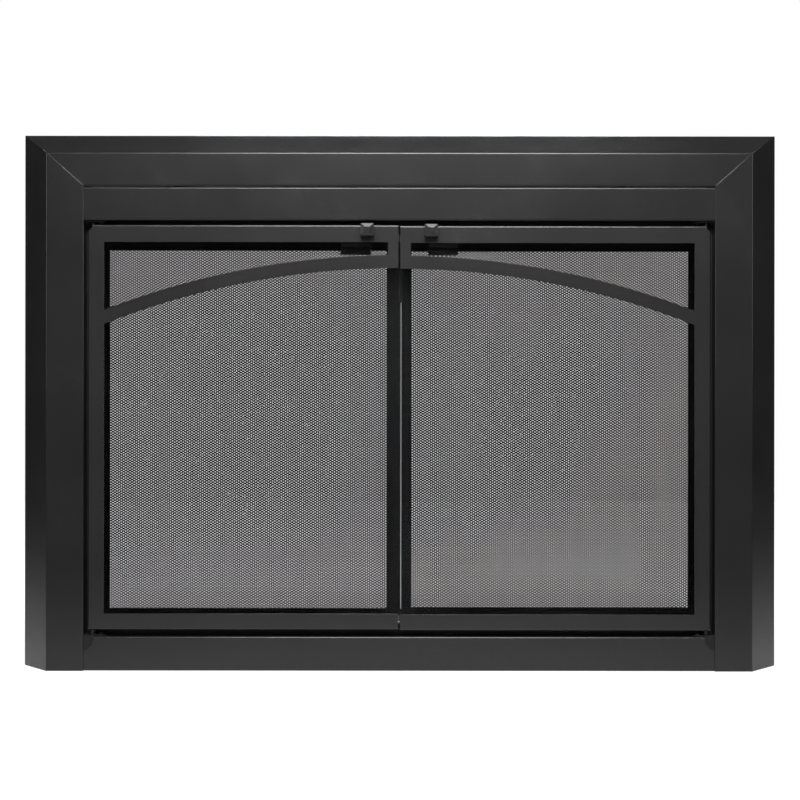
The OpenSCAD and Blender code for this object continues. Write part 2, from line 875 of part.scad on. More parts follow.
// Screws of the lintel clamps and floor brackets.
module anchor_screws() {
    color(zinc) both_sides() {
        for (y = clamp_bolt_ys)
            translate([-anchor_x, y, clamp_bar_z]) facing_down() pan_screw(screw_d, anchor_t + sheet);
        for (x = anchor_bolt_xs)
            translate([x, neck_reach + anchor_t, anchor_bolt_z])
                facing_rear() pan_screw(screw_d, anchor_t + sheet + sheet_grip);
    }
}

// ---------------------------------------------------------------- doors

// Front outline of a door, with its top outer corner cut away.
module door_outline() {
    polygon([
        [door_in, door_bottom],
        [door_in, door_top],
        [door_out + corner_cut, door_top],
        [door_out, door_top - corner_cut],
        [door_out, door_bottom],
    ]);
}

// The opening over the arch, and the one under it that runs on to the meeting edge.
module door_openings() {
    difference() {
        translate([open_out, open_bottom])
            square([door_in - meeting_stile - open_out, open_top - open_bottom]);
        translate([0, arch_centre_z]) circle(r = arch_r);
    }
    intersection() {
        translate([open_out, open_bottom])
            square([door_in + 1 - open_out, open_top - open_bottom]);
        translate([0, arch_centre_z]) circle(r = arch_r - arch_bar);
    }
}

// Places of the glass clips, as (x, z, angle) with the clip pointing at the glass.
clip_side_x = glass_out - gasket_t - clip_room;
clip_top_z = glass_top + gasket_t + clip_room;
clip_bottom_z = glass_bottom - gasket_t - clip_room;
clip_places = concat(
    [for (share = [0.25, 0.5, 0.75])
        [clip_side_x, glass_bottom + (glass_top - glass_bottom) * share, 0]],
    [for (share = [0.25, 0.7]) [glass_out * share + glass_in * (1 - share), clip_top_z, 90]],
    [for (share = [0.2, 0.5, 0.8]) [glass_out * share + glass_in * (1 - share), clip_bottom_z, -90]]
);

module door_frame() {
    color(powder_black) difference() {
        union() {
            intersection() {
                union() {
                    along_y(door_y, door_back_y) difference() {
                        translate([door_out + flat_inset, door_bottom + flat_inset])
                            square([
                                door_in - door_out - flat_inset,
                                door_top - door_bottom - 2 * flat_inset
                            ]);
                        door_openings();
                    }
                    along_x(door_out, door_in) folded_sheet([
                        [door_rear_y, door_top],
                        [door_y, door_top],
                        [door_y, door_top - flat_inset],
                    ]);
                    along_x(door_out, door_in) folded_sheet([
                        [door_y, door_bottom + flat_inset],
                        [door_y, door_bottom],
                        [door_rear_y, door_bottom],
                    ]);
                    along_z(door_bottom, door_top) folded_sheet([
                        [door_out, door_rear_y],
                        [door_out, door_y],
                        [door_out + flat_inset, door_y],
                    ]);
                }
                along_y(door_y - 1, door_rear_y + 1) door_outline();
            }
            for (p = clip_places)
                translate([p[0], door_back_y - weld_depth, p[1]])
                    facing_rear() cylinder(r = clip_stud_d / 2, h = stud_len + weld_depth);
        }
        translate([-knob_x, door_y - 1, door_top - knob_drop])
            facing_rear() cylinder(r = screw_d / 2 + hole_extra, h = sheet + 2);
        block(
            [door_out + sheet, door_y + bend_r + 0.5, door_bottom - 1],
            [door_out + corner_cut, door_rear_y + 1, door_bottom + sheet + 1]
        );
    }
}

module door_glass() {
    color(smoked) block([glass_out, glass_y, glass_bottom], [glass_in, glass_rear_y, glass_top]);
}

// Tape folded over the outer, top and bottom edges of the glass.
module glass_gasket() {
    color(gasket_grey) difference() {
        block(
            [glass_out - gasket_t, door_back_y, glass_bottom - gasket_t],
            [glass_in, gasket_rear_y, glass_top + gasket_t]
        );
        block([glass_out, glass_y, glass_bottom], [glass_in + 1, glass_rear_y, glass_top]);
        block(
            [glass_out + gasket_leg, door_back_y - 1, glass_bottom + gasket_leg],
            [glass_in + 1, gasket_rear_y + 1, glass_top - gasket_leg]
        );
    }
}

// A clip on the origin's stud: a plate over the gasket, towards +X, and a heel on the door.
module glass_clip() {
    reach = clip_room + clip_cover;
    heel = clip_stud_d / 2 + clip_heel;
    difference() {
        union() {
            block([-heel, gasket_rear_y - door_back_y, -clip_w / 2],
                [reach, gasket_rear_y - door_back_y + clip_t, clip_w / 2]);
            block([-heel, 0, -clip_w / 2], [-heel + clip_t, gasket_rear_y - door_back_y, clip_w / 2]);
        }
        facing_rear() cylinder(r = clip_stud_d / 2 + 0.1, h = stud_len);
    }
}

module glass_clips() {
    color(zinc) for (p = clip_places)
        translate([p[0], door_back_y, p[1]]) rotate([0, p[2], 0]) glass_clip();
}

module clip_nuts() {
    color(zinc) for (p = clip_places)
        translate([p[0], gasket_rear_y + clip_t, p[1]])
            facing_rear() hex_nut(clip_stud_d * 0.95, nut_h);
}

// Outline of the knob from above or from its side: a straight base and a tapered nose.
module knob_side(width) {
    polygon([
        [-width / 2, 0],
        [width / 2, 0],
        [width / 2, -knob_base],
        [width / 2 * knob_taper, -knob_h],
        [-width / 2 * knob_taper, -knob_h],
        [-width / 2, -knob_base],
    ]);
}

module knob() {
    hole_depth = moulding_grip + 2;
    color(powder_black) translate([-knob_x, door_y, door_top - knob_drop]) difference() {
        intersection() {
            along_z(-knob_tall / 2, knob_tall / 2) knob_side(knob_w);
            rotate([0, 90, 0]) along_z(-knob_w / 2, knob_w / 2) knob_side(knob_tall);
        }
        translate([0, -hole_depth, 0])
            facing_rear() cylinder(r = screw_d / 2 + 0.1, h = hole_depth + 1);
    }
}

module knob_screw() {
    color(zinc) translate([-knob_x, door_back_y, door_top - knob_drop])
        facing_rear() pan_screw(screw_d, sheet + moulding_grip);
}

// Angle spot-welded under the top edge, whose hanging leg meets the catch.
module strike_plate() {
    x0 = -catch_x - strike_w / 2;
    x1 = -catch_x + strike_w / 2;
    top_z = door_top - sheet;
    color(zinc) {
        block([x0, strike_y - strike_leg, top_z - sheet], [x1, strike_y + sheet / 2, top_z]);
        block([x0, strike_y, top_z - strike_h], [x1, strike_y + sheet, top_z]);
    }
}

// A horizontal ear on the back of the door's corner, with a running hole for a pivot.
module pivot_ear_plate(z) {
    difference() {
        block([ear_out_x, ear_front_y, z], [ear_in_x, ear_rear_y, z + bracket_t]);
        translate([pivot_x, pivot_y, z - 1]) cylinder(r = pivot_hole_r, h = bracket_t + 2);
    }
}

// The flat web that is welded to the back of the stile and carries the ears.
module ear_web(z0, z1) {
    block(
        [door_out + bend_r + 0.2, door_back_y, z0],
        [ear_in_x, door_back_y + ear_web_t, z1]
    );
}

// U-shaped housing of the sprung pin: a web welded behind the stile and two ears.
module pin_housing() {
    color(shade_black) {
        pivot_ear_plate(upper_ear_z - bracket_t);
        pivot_ear_plate(housing_floor_z - bracket_t);
        ear_web(housing_floor_z - bracket_t, upper_ear_z);
    }
}

// The lower ear stands on the stud's collar, with a web up the back of the stile.
module pivot_ear() {
    color(shade_black) {
        pivot_ear_plate(lower_ear_z);
        ear_web(lower_ear_z, lower_ear_z + bracket_t + ear_web_rise);
    }
}

// Sprung pin: it runs through both ears into the upper bracket, and its bent tail pulls it down.
module upper_pin(lift) {
    tail_r = 1.8;
    tail_len = 11;
    tail_rise = 4;
    color(dark_zinc) translate([pivot_x, pivot_y, 0]) {
        translate([0, 0, pin_bottom_z])
            cylinder(r = pivot_r, h = pin_top_z - lift - pin_bottom_z);
        translate([0, 0, housing_floor_z + spring_len]) cylinder(r = collar_r, h = collar_h);
        translate([0, 0, pin_bottom_z + tail_rise])
            facing_rear() cylinder(r = tail_r, h = tail_len);
    }
}

// Ring number i of the spring's wire, as points in space.
function spring_ring(i, pitch) =
    let (a = 360 * i / rings_per_turn)
    [for (k = [0:ring_sides - 1])
        let (b = 360 * k / ring_sides, out = spring_r + spring_wire / 2 * cos(b))
        [out * cos(a), out * sin(a), pitch * i / rings_per_turn + spring_wire / 2 * sin(b)]];

// Least distance from any point of a ring to any point of the ring one turn further on.
function least_gap(points) = min([
    for (
        i = [0:len(points) / ring_sides - 1 - rings_per_turn],
        j = [0:ring_sides - 1],
        k = [0:ring_sides - 1]
    )
        norm(points[i * ring_sides + j] - points[(i + rings_per_turn) * ring_sides + k])
]);

// Compression spring between the housing's lower ear and the pin's collar.
module pin_spring() {
    rings = spring_turns * rings_per_turn;
    pitch = (spring_len - spring_wire - 2 * seat_gap) / spring_turns;
    points = [for (i = [0:rings]) each spring_ring(i, pitch)];
    sides = [
        for (i = [0:rings - 1], k = [0:ring_sides - 1])
            let (a = i * ring_sides + k, b = i * ring_sides + (k + 1) % ring_sides)
            each [[a, a + ring_sides, b + ring_sides], [a, b + ring_sides, b]],
    ];
    start_cap = [for (k = [1:ring_sides - 2]) [0, k, k + 1]];
    end = rings * ring_sides;
    end_cap = [for (k = [1:ring_sides - 2]) [end, end + k + 1, end + k]];
    echo(least_gap_between_turns = least_gap(points));
    color(zinc) translate([pivot_x, pivot_y, housing_floor_z + seat_gap + spring_wire / 2])
        polyhedron(points, concat(sides, start_cap, end_cap));
}

// A left door's pieces are lifted by its levelling stud.
module lifted() { translate([0, 0, left_door_lift]) children(); }
module on_right() { mirror([1, 0, 0]) children(); }

// ---------------------------------------------------------------- mesh screens

// Screens are drawn on the left with their meeting edge at x = meet, in a channel at y.
function meet_left() = mesh_seam_x - mesh_seam_gap / 2;
function meet_right() = -mesh_seam_x - mesh_seam_gap / 2;

module rect(x0, z0, x1, z1) {
    translate([x0, z0]) square([x1 - x0, z1 - z0]);
}

module mesh_clear(meet, meeting_stile_w, grow) {
    rect(
        mesh_out + mesh_stile - grow, mesh_bottom + mesh_bottom_rail - grow,
        meet - meeting_stile_w + grow, mesh_top - mesh_top_rail + grow
    );
}

// Frame folded round the net's edge, with a finger pull on the meeting stile.
module mesh_frame(meet, meeting_stile_w, y) {
    pull_z = (mesh_bottom + mesh_top) / 2 - pull_h / 2;
    front = y - mesh_frame_t / 2;
    color(shade_black) {
        difference() {
            along_y(front, front + mesh_frame_t) difference() {
                rect(mesh_out, mesh_bottom, meet, mesh_top);
                mesh_clear(meet, meeting_stile_w, 0);
            }
            along_y(y - net_groove / 2, y + net_groove / 2)
                mesh_clear(meet, meeting_stile_w, net_lap + 0.5);
        }
        block([meet - pull_w, front - pull_t, pull_z], [meet - 1, front, pull_z + pull_h]);
        block(
            [meet - pull_w, front - pull_proud, pull_z],
            [meet - pull_w + pull_t, front - pull_t, pull_z + pull_h]
        );
    }
}

// Expanded steel net: diamonds in staggered rows, cut at the frame's inner edge.
module mesh_net(meet, meeting_stile_w, y) {
    x0 = mesh_out + mesh_stile;
    x1 = meet - meeting_stile_w;
    z0 = mesh_bottom + mesh_bottom_rail;
    z1 = mesh_top - mesh_top_rail;
    a = (x1 - x0) / net_cols / 2;
    b = (z1 - z0) / net_rows / 2;
    share = 1 - net_strand / 2 * norm([a, b]) / (a * b);
    color(shade_black) along_y(y - net_t / 2, y + net_t / 2) difference() {
        mesh_clear(meet, meeting_stile_w, net_lap);
        intersection() {
            mesh_clear(meet, meeting_stile_w, 0);
            union() for (i = [0:2 * net_cols], j = [0:2 * net_rows])
                if ((i + j) % 2 == 0)
                    translate([x0 + a * i, z0 + b * j]) scale(share)
                        polygon([[-a, 0], [0, -b], [a, 0], [0, b]]);
        }
    }
}

// Cover plates riveted to the left screen, over the seam at its top and its bottom.
seam_plate_t = 1;
seam_plate_lap = 10;
seam_plate_reach = 4.5;
seam_top_plate_h = 76;
rivet_r = 2;

module seam_plate(z0, z1) {
    meet = meet_left();
    front = front_channel_y - mesh_frame_t / 2;
    block(
        [meet - seam_plate_lap, front - seam_plate_t, z0],
        [meet + seam_plate_reach, front, z1]
    );
    for (z = [z0 + rivet_r + 3, z1 - rivet_r - 3])
        translate([meet - seam_plate_lap / 2, front - seam_plate_t, z])
            facing_front() cylinder(r1 = rivet_r, r2 = rivet_r * 0.6, h = 0.8);
}

module mesh_seam_plates() {
    color(shade_black) {
        seam_plate(mesh_top - mesh_top_rail - seam_top_plate_h, mesh_top);
        seam_plate(mesh_bottom, mesh_bottom + mesh_bottom_rail);
    }
}

// Nylon shoes under and over the screen, two at each rail, that run in the channels.
module mesh_glides(meet, y) {
    color(nylon) for (x = [mesh_out + glide_setin, meet - glide_setin - glide_len]) {
        block(
            [x, y - glide_w / 2, sill_h + sheet + glide_clear],
            [x + glide_len, y + glide_w / 2, mesh_bottom]
        );
        block(
            [x, y - glide_w / 2, mesh_top],
            [x + glide_len, y + glide_w / 2, band_bottom - sheet - glide_clear - 1]
        );
    }
}

// ---------------------------------------------------------------- the object

surround_header();
surround_left();
surround_right();
corner_gusset_left();
corner_gusset_right();
gusset_nuts();
header_band();
sill();
frame_screws();
mesh_track_top();
mesh_track_bottom();
track_screws();
upper_pivot_bracket_left();
upper_pivot_bracket_right();
lower_pivot_bracket_left();
lower_pivot_bracket_right();
pivot_bracket_screws();
lower_pivot_stud_left();
lower_pivot_stud_right();
catch_body_left();
catch_body_right();
catch_magnets();
catch_screws();
lintel_clamp_left();
lintel_clamp_right();
clamp_screws();
floor_bracket_left();
floor_bracket_right();
anchor_screws();

lifted() door_frame();  // door_frame_left
lifted() door_glass();  // door_glass_left
lifted() glass_gasket();  // glass_gasket_left
lifted() glass_clips();  // glass_clips_left
lifted() clip_nuts();  // clip_nuts_left
lifted() knob();  // knob_left
lifted() knob_screw();  // knob_screw_left
lifted() strike_plate();  // strike_plate_left
lifted() pin_housing();  // pin_housing_left
lifted() pin_spring();  // pin_spring_left
lifted() pivot_ear();  // pivot_ear_left
lifted() upper_pin(left_door_lift);  // upper_pin_left

on_right() door_frame();  // door_frame_right
on_right() door_glass();  // door_glass_right
on_right() glass_gasket();  // glass_gasket_right
on_right() glass_clips();  // glass_clips_right
on_right() clip_nuts();  // clip_nuts_right
on_right() knob();  // knob_right
on_right() knob_screw();  // knob_screw_right
on_right() strike_plate();  // strike_plate_right
on_right() pin_housing();  // pin_housing_right
on_right() pin_spring();  // pin_spring_right
on_right() pivot_ear();  // pivot_ear_right
on_right() upper_pin(0);  // upper_pin_right

mesh_frame(meet_left(), mesh_meeting_left, front_channel_y);  // mesh_frame_left
mesh_net(meet_left(), mesh_meeting_left, front_channel_y);  // mesh_net_left
mesh_glides(meet_left(), front_channel_y);  // mesh_glides_left
mesh_seam_plates();
on_right() mesh_frame(meet_right(), mesh_meeting_right, rear_channel_y);  // mesh_frame_right
on_right() mesh_net(meet_right(), mesh_meeting_right, rear_channel_y);  // mesh_net_right
on_right() mesh_glides(meet_right(), rear_channel_y);  // mesh_glides_right
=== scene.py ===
"""Looks of the fireplace glass door: materials, true-pitch net, knobs, welds, seals, light and camera."""

import json
import math

import bmesh
import bpy
import numpy as np
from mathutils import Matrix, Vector

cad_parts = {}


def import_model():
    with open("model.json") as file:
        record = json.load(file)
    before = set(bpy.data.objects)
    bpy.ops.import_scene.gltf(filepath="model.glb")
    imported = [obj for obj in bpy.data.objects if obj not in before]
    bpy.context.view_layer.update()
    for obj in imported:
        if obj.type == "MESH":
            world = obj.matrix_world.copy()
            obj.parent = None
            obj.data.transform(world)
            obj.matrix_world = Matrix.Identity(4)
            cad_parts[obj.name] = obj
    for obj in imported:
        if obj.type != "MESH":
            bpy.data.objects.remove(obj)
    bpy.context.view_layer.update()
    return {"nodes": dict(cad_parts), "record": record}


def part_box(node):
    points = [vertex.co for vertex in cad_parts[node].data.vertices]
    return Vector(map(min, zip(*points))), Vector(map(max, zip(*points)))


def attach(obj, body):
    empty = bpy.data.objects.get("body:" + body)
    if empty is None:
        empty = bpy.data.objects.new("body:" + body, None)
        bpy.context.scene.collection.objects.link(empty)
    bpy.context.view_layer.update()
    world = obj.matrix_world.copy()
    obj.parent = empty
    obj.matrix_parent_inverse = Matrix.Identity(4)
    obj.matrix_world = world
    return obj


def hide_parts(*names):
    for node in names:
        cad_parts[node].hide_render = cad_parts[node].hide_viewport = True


MM = 0.001
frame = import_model()


# ---------------------------------------------------------------- places read from the frame

def low(node):
    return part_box(node)[0]


def high(node):
    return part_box(node)[1]


SIDES = ("left", "right")
SIDE_SIGN = {"left": -1, "right": 1}


def jamb_x(side):
    """How far the inner face of one side of the surround is from the middle."""
    node = f"surround_{side}"
    return min(abs(low(node).x), abs(high(node).x))


# ---------------------------------------------------------------- node helpers

class Graph:
    """A material's or world's node tree, with short calls that make and join its nodes."""

    def __init__(self, owner):
        owner.use_nodes = True
        self.tree = owner.node_tree
        self.tree.nodes.clear()

    def node(self, kind, **settings):
        made = self.tree.nodes.new(kind)
        for key, value in settings.items():
            setattr(made, key, value)
        return made

    def join(self, source, target):
        self.tree.links.new(source, target)

    def math(self, operation, a, b=0.0):
        made = self.node("ShaderNodeMath", operation=operation)
        for socket, value in zip(made.inputs, (a, b)):
            if isinstance(value, (int, float)):
                socket.default_value = value
            else:
                self.join(value, socket)
        return made.outputs[0]

    def object_place(self, scale=(1, 1, 1)):
        """Object coordinates, in metres times scale."""
        place = self.node("ShaderNodeTexCoord").outputs["Object"]
        mapping = self.node("ShaderNodeMapping")
        mapping.inputs["Scale"].default_value = scale
        self.join(place, mapping.inputs["Vector"])
        return mapping.outputs["Vector"]

    def noise(self, place, scale, detail=2.0, roughness=0.5):
        made = self.node("ShaderNodeTexNoise")
        made.inputs["Scale"].default_value = scale
        made.inputs["Detail"].default_value = detail
        made.inputs["Roughness"].default_value = roughness
        self.join(place, made.inputs["Vector"])
        return made.outputs["Fac"]

    def span(self, value, to_low, to_high, from_low=0.3, from_high=0.7):
        made = self.node("ShaderNodeMapRange")
        for name, number in (
            ("From Min", from_low),
            ("From Max", from_high),
            ("To Min", to_low),
            ("To Max", to_high),
        ):
            made.inputs[name].default_value = number
        self.join(value, made.inputs["Value"])
        return made.outputs["Result"]

    def ramp(self, value, stops):
        """Grey level by a value from -1 to 1, through stops of (value, level)."""
        made = self.node("ShaderNodeValToRGB")
        elements = made.color_ramp.elements
        while len(elements) < len(stops):
            elements.new(0.5)
        for element, (place, level) in zip(elements, stops):
            element.position = (place + 1) / 2
            element.color = (level, level, level, 1)
        self.join(self.math("MULTIPLY", self.math("ADD", value, 1.0), 0.5), made.inputs[0])
        return made.outputs["Color"]

    def mix_colour(self, factor, first, second):
        made = self.node("ShaderNodeMix", data_type="RGBA")
        self.join(factor, made.inputs["Factor"])
        made.inputs["A"].default_value = (*first, 1)
        made.inputs["B"].default_value = (*second, 1)
        return made.outputs["Result"]

    def bump(self, height, distance, strength=1.0, normal=None):
        made = self.node("ShaderNodeBump")
        made.inputs["Strength"].default_value = strength
        made.inputs["Distance"].default_value = distance
        self.join(height, made.inputs["Height"])
        if normal is not None:
            self.join(normal, made.inputs["Normal"])
        return made.outputs["Normal"]

    def looked_at_straight(self, ray):
        """1 for a ray from the camera that met nothing but clear glass."""
        bounces = self.math("ADD", ray.outputs["Diffuse Depth"], ray.outputs["Glossy Depth"])
        looked_at = self.math("MAXIMUM", ray.outputs["Is Camera Ray"], ray.outputs["Is Transmission Ray"])
        return self.math("MULTIPLY", looked_at, self.math("LESS_THAN", bounces, 0.5))

    def soft_edges(self, radius):
        """Rounds the shading of sharp edges, as a coat of paint rounds them."""
        made = self.node("ShaderNodeBevel", samples=4)
        made.inputs["Radius"].default_value = radius
        return made.outputs["Normal"]

    def principled(self, **inputs):
        made = self.node("ShaderNodeBsdfPrincipled")
        for name, value in inputs.items():
            socket = made.inputs[name.replace("_", " ")]
            if hasattr(value, "is_linked"):
                self.join(value, socket)
            else:
                socket.default_value = value
        out = self.node("ShaderNodeOutputMaterial")
        self.join(made.outputs[0], out.inputs["Surface"])
        return made


# ---------------------------------------------------------------- materials

POWDER_DARK = (0.008, 0.008, 0.0082)
POWDER_LIGHT = (0.0125, 0.0125, 0.0129)
POWDER_GRAIN = 1100
POWDER_PEEL = 260
POWDER_CLOUD = 9
POWDER_RELIEF = 0.05 * MM
POWDER_EDGE = 0.9 * MM


def powder_coat(name, dark=POWDER_DARK, light=POWDER_LIGHT, smooth=0.2, rough=0.28, gloss=0.42):
    """Satin black powder coat: a fine grain over a slight orange peel, with softened edges."""
    material = bpy.data.materials.new(name)
    g = Graph(material)
    place = g.object_place()
    grain = g.noise(place, POWDER_GRAIN, 3, 0.6)
    peel = g.noise(place, POWDER_PEEL, 2, 0.5)
    cloud = g.noise(place, POWDER_CLOUD, 3, 0.55)
    height = g.math("ADD", g.math("MULTIPLY", grain, 0.6), peel)
    mottled = g.math("ADD", g.math("MULTIPLY", grain, 0.5), g.math("MULTIPLY", cloud, 0.5))
    dullness = g.math("ADD", g.math("MULTIPLY", cloud, 0.6), g.math("MULTIPLY", grain, 0.4))
    g.principled(
        Base_Color=g.mix_colour(g.span(mottled, 0, 1), dark, light),
        Roughness=g.span(dullness, smooth, rough),
        Specular_IOR_Level=gloss,
        Normal=g.bump(height, POWDER_RELIEF, 0.35, g.soft_edges(POWDER_EDGE)),
    )
    return material


# Painted shade and painted light: the dark end stands for the frames' shaded outer borders, and the light
# end for the lit meeting stiles.
SCREEN_PAINTED_SHADE = (0.002, 0.002, 0.002)
SCREEN_PAINTED_LIT = (0.013, 0.013, 0.0132)
# How far from the middle the painted light on the meeting stiles is full, and where it has faded into the
# painted shade of the outer borders.
PAINTED_LIGHT_REACH = (20 * MM, 26 * MM)
SCREEN_RELIEF = 0.04 * MM
SCREEN_EDGE = 0.4 * MM


def screen_paint():
    """Dull black paint of the screens' frames, with painted light: lighter on the stiles that meet in the
    middle, and darker as painted shade towards the outer borders.
    """
    material = bpy.data.materials.new("screen_paint")
    g = Graph(material)
    place = g.object_place()
    grain = g.noise(place, POWDER_GRAIN, 3, 0.6)
    split = g.node("ShaderNodeSeparateXYZ")
    g.join(place, split.inputs[0])
    off_middle = g.math("ABSOLUTE", split.outputs["X"])
    near_middle = g.span(off_middle, 1.0, 0.0, *PAINTED_LIGHT_REACH)
    # Painted light: the frame is lighter near the middle, where the meeting stiles are lit, with painted
    # shade towards the outer borders.
    painted_light = g.math("MULTIPLY", near_middle, g.span(grain, 0.8, 1.0))
    g.principled(
        Base_Color=g.mix_colour(painted_light, SCREEN_PAINTED_SHADE, SCREEN_PAINTED_LIT),
        Roughness=g.span(grain, 0.5, 0.62),
        Specular_IOR_Level=0.08,
        Normal=g.bump(grain, SCREEN_RELIEF, 0.4, g.soft_edges(SCREEN_EDGE)),
    )
    return material


GLASS_TINT_DARK = (0.765, 0.767, 0.772)
GLASS_TINT_LIGHT = (0.78, 0.782, 0.787)
GLASS_CLOUD = 5
# Lower than real glass has, so that the panes mirror little of the room.
GLASS_IOR = 1.13


def smoked_glass():
    """Grey tinted, polished glass, its tint very slightly cloudy."""
    material = bpy.data.materials.new("smoked_glass")
    g = Graph(material)
    cloud = g.noise(g.object_place(), GLASS_CLOUD, 2, 0.5)
    g.principled(
        Base_Color=g.mix_colour(g.span(cloud, 0, 1), GLASS_TINT_DARK, GLASS_TINT_LIGHT),
        Roughness=0.0,
        IOR=GLASS_IOR,
        Transmission_Weight=1.0,
    )
    return material


PLATING_CLOUD = 90
DRAWN_LINES = 500
# Squeezes the noise along Z into fine level lines.
DRAWN_SQUEEZE = (1, 1, 14)
PLATING_RELIEF = 0.02 * MM
PLATING_EDGE = 0.25 * MM


def plated_steel(name, dark, light, smooth, rough):
    """Plated steel with faint drawn lines and a cloudy finish."""
    material = bpy.data.materials.new(name)
    g = Graph(material)
    cloud = g.noise(g.object_place(), PLATING_CLOUD, 3, 0.6)
    lines = g.noise(g.object_place(DRAWN_SQUEEZE), DRAWN_LINES, 2, 0.5)
    mixed = g.math("ADD", g.math("MULTIPLY", cloud, 0.6), g.math("MULTIPLY", lines, 0.4))
    g.principled(
        Base_Color=g.mix_colour(g.span(mixed, 0, 1), dark, light),
        Metallic=1.0,
        Roughness=g.span(mixed, smooth, rough),
        Normal=g.bump(lines, PLATING_RELIEF, 0.4, g.soft_edges(PLATING_EDGE)),
    )
    return material


TAPE_DARK = (0.04, 0.038, 0.034)
TAPE_LIGHT = (0.14, 0.135, 0.125)
TAPE_WEAVE = 200
TAPE_FLUFF = 900
TAPE_RELIEF = 0.3 * MM


def gasket_tape():
    """Woven glass-fibre tape."""
    material = bpy.data.materials.new("gasket_tape")
    g = Graph(material)
    place = g.object_place()
    waves = []
    for direction in ("X", "Z"):
        wave = g.node("ShaderNodeTexWave", bands_direction=direction)
        wave.inputs["Scale"].default_value = TAPE_WEAVE
        wave.inputs["Distortion"].default_value = 0.6
        g.join(place, wave.inputs["Vector"])
        waves.append(wave.outputs["Fac"])
    weave = g.math("MULTIPLY", waves[0], waves[1])
    fluff = g.noise(place, TAPE_FLUFF, 2, 0.6)
    height = g.math("ADD", weave, g.math("MULTIPLY", fluff, 0.4))
    g.principled(
        Base_Color=g.mix_colour(g.span(weave, 0, 1, 0.0, 0.8), TAPE_DARK, TAPE_LIGHT),
        Roughness=g.span(fluff, 0.85, 0.98),
        Sheen_Weight=0.3,
        Normal=g.bump(height, TAPE_RELIEF, 0.8),
    )
    return material


PLASTIC_DARK = (0.002, 0.002, 0.002)
PLASTIC_LIGHT = (0.005, 0.005, 0.005)
PLASTIC_SKIN = 1400
PLASTIC_RELIEF = 0.03 * MM
PLASTIC_EDGE = 0.4 * MM


def moulded_plastic():
    """Black moulded plastic with a fine spark-eroded skin."""
    material = bpy.data.materials.new("moulded_plastic")
    g = Graph(material)
    skin = g.noise(g.object_place(), PLASTIC_SKIN, 2, 0.6)
    g.principled(
        Base_Color=g.mix_colour(g.span(skin, 0, 1), PLASTIC_DARK, PLASTIC_LIGHT),
        Roughness=g.span(skin, 0.45, 0.6),
        Specular_IOR_Level=0.12,
        Normal=g.bump(skin, PLASTIC_RELIEF, 0.4, g.soft_edges(PLASTIC_EDGE)),
    )
    return material


# Dark and light end of each finish.
FRAME_BLACKS = ((0.005, 0.005, 0.005), (0.009, 0.009, 0.009))
MESH_BLACKS = ((0.002, 0.002, 0.002), (0.004, 0.004, 0.004))
DOOR_BLACKS = ((0.012, 0.012, 0.0122), (0.0165, 0.0165, 0.0169))
ZINC_GREYS = ((0.42, 0.43, 0.44), (0.62, 0.62, 0.61))
BLACK_ZINC_GREYS = ((0.03, 0.03, 0.032), (0.07, 0.07, 0.072))

MATERIALS = {
    "powder_black": powder_coat("powder_black"),
    "frame_black": powder_coat("frame_black", *FRAME_BLACKS, smooth=0.5, rough=0.6, gloss=0.25),
    "mesh_black": powder_coat("mesh_black", *MESH_BLACKS, smooth=0.5, rough=0.62, gloss=0.08),
    "smoked_glass": smoked_glass(),
    "zinc": plated_steel("zinc", *ZINC_GREYS, smooth=0.28, rough=0.42),
    "black_zinc": plated_steel("black_zinc", *BLACK_ZINC_GREYS, smooth=0.3, rough=0.45),
    "gasket": gasket_tape(),
    "nylon": moulded_plastic(),
}

SCREEN_PAINT = screen_paint()
DOOR_COAT = powder_coat("door_coat", *DOOR_BLACKS)
# Nodes that look different from the rest of their slot.
NODE_MATERIALS = {
    "mesh_frame_left": SCREEN_PAINT,
    "mesh_frame_right": SCREEN_PAINT,
    "mesh_seam_plates": SCREEN_PAINT,
    "door_frame_left": DOOR_COAT,
    "door_frame_right": DOOR_COAT,
    "pivot_bracket_screws": MATERIALS["black_zinc"],
}


def dress_nodes():
    """Gives each CAD node the material of its slot in the record, or its own one."""
    for entry in frame["record"]["subparts"]:
        obj = frame["nodes"][entry["node"]]
        obj.data.materials.clear()
        slot_material = MATERIALS[entry["material_slot"]]
        obj.data.materials.append(NODE_MATERIALS.get(entry["node"], slot_material))


def new_piece(name, mesh, body, slot):
    """Adds a mesh as a piece that rides on a body and takes a slot's material."""
    obj = bpy.data.objects.new(name, mesh)
    bpy.context.collection.objects.link(obj)
    obj.data.materials.append(MATERIALS[slot])
    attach(obj, body)
    return obj


# ---------------------------------------------------------------- expanded steel mesh

NET_PITCH_X = 6.2 * MM
NET_PITCH_Z = 3.76 * MM
# How far a hole reaches from its centre, as a share of half the pitch.
NET_HOLE_SHARE = 0.47
NET_RELIEF = 0.35 * MM


